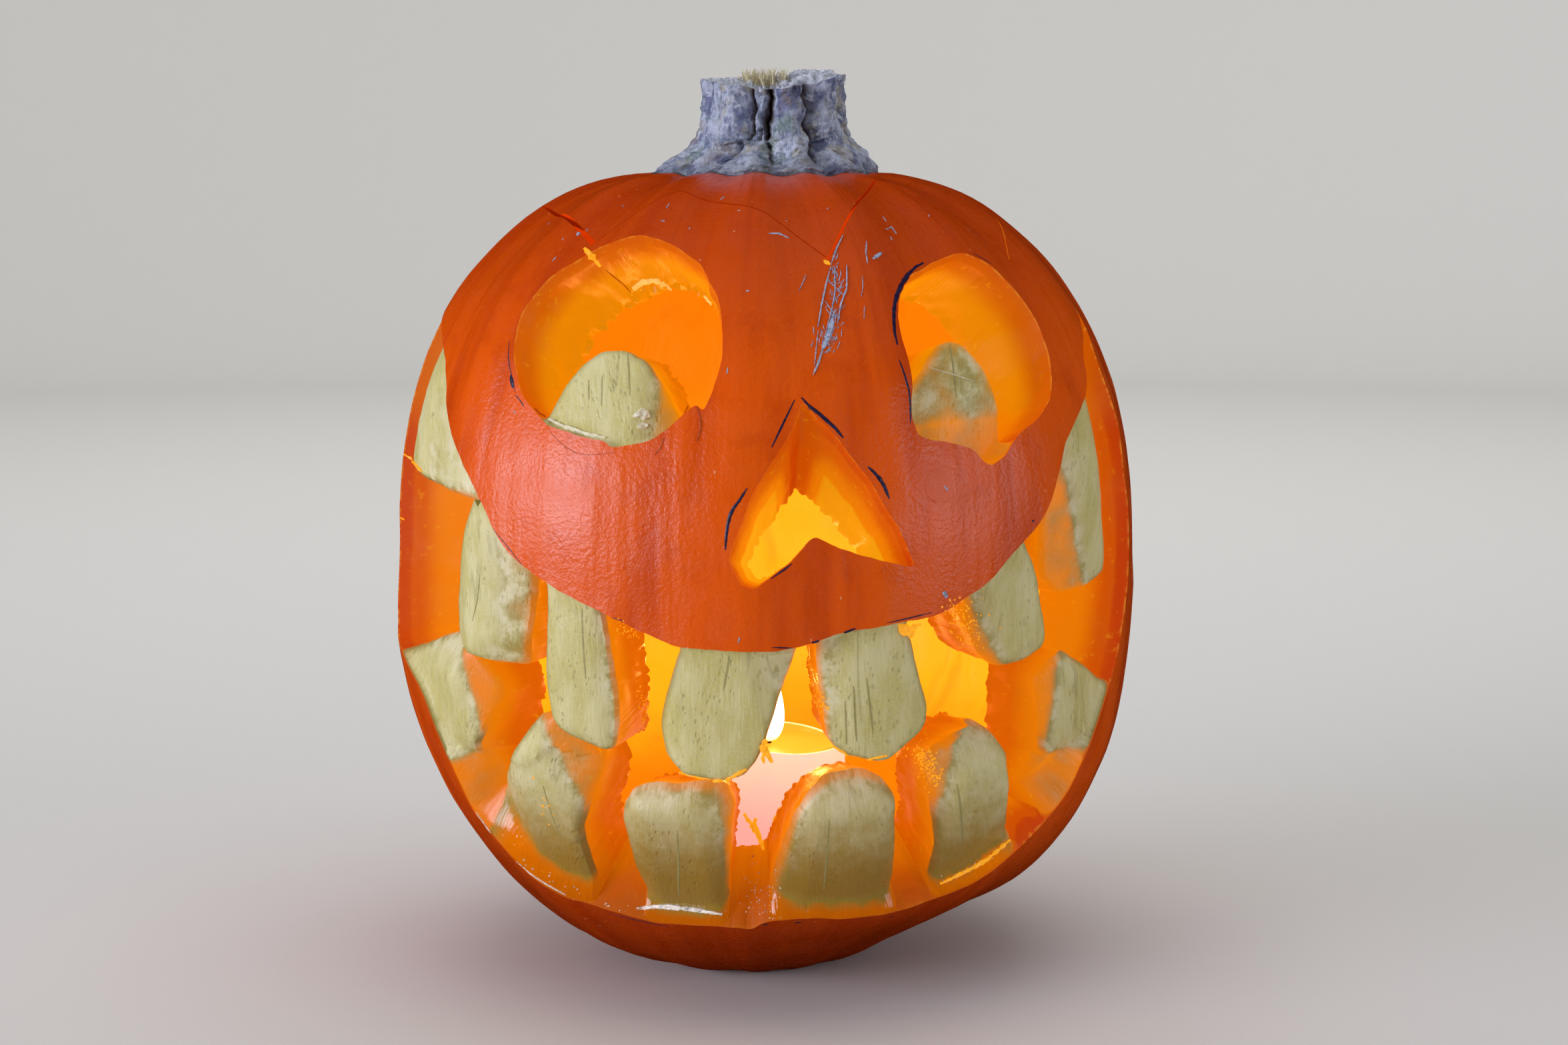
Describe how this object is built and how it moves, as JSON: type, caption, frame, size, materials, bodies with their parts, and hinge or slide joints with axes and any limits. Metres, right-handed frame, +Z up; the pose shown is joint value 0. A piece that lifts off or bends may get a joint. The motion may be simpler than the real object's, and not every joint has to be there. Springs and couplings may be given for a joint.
{
  "type": "carved pumpkin lantern",
  "caption": "Hollow pumpkin carved with round eyes, a nose and a wide toothy grin, with its star-cut lid on and a lit pillar candle inside.",
  "frame": {"origin": "middle of the base, on the surface that the lantern stands on", "axes": "+Z up, the carved face looks along -Y, +X to the viewer's right when facing the face"},
  "size_m": [0.2377, 0.2379, 0.2855],
  "materials": {
    "pumpkin_rind": "waxy orange rind, satin, faintly ribbed",
    "pumpkin_flesh": "moist cut flesh, glowing orange from the light inside",
    "peeled_flesh": "pale olive-cream peeled flesh with lengthwise streaks",
    "stem": "dry corky grey stem, rough, split along its ridges",
    "candle_wax": "translucent pinkish-white wax",
    "candle_wick": "charred cotton",
    "flame": "candle flame, gives light",
    "ink": "felt-pen marks left from the drawing"
  },
  "bodies": {
    "root": {"shell": "pumpkin_rind", "lid": "pumpkin_rind", "candle": "candle_wax", "wick": "candle_wick"}
  },
  "joints": []
}
